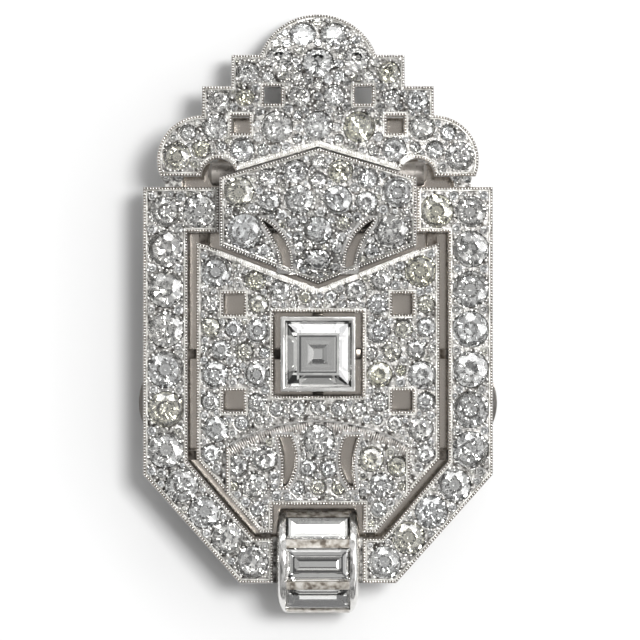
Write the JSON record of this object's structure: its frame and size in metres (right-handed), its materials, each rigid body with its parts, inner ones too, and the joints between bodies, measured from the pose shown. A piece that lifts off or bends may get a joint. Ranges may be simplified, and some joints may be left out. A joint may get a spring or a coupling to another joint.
{
  "type": "dress clip",
  "caption": "Stepped, pierced platinum dress clip paved with round diamonds around step-cut stones, with a sprung hinged back flap that grips fabric.",
  "frame": {"origin": "on the surface that the clip lies on, under the middle of its length and width", "axes": "+Z out of the clip's face, +Y towards the dome at the top, +X across it"},
  "size_m": [0.03, 0.05, 0.0072],
  "materials": {
    "platinum": "polished platinum, softly worn on the edges",
    "flap_metal": "satin white gold",
    "pin_metal": "drawn wire",
    "diamond": "faceted and polished"
  },
  "bodies": {
    "front": {"plaque": "platinum", "keystone": "platinum", "centre_collet": "platinum", "baguette_cradle": "platinum", "hinge_pin": "pin_metal", "centre_stone": "diamond", "baguette_upper": "diamond", "baguette_middle": "diamond", "baguette_lower": "diamond", "crest_stones": "diamond", "frame_stones": "diamond", "keystone_stones": "diamond", "panel_stones": "diamond", "fan_stones": "diamond"},
    "flap": {"clip_flap": "flap_metal"}
  },
  "joints": [
    {"name": "flap_hinge", "type": "hinge", "parent": "front", "child": "flap", "pos_m": [0, 0.0117, 0.0019], "axis": [1, 0, 0], "range_deg": [0, 35], "stiffness_Nm_per_rad": 0.01, "springref_deg": -45.84}
  ]
}
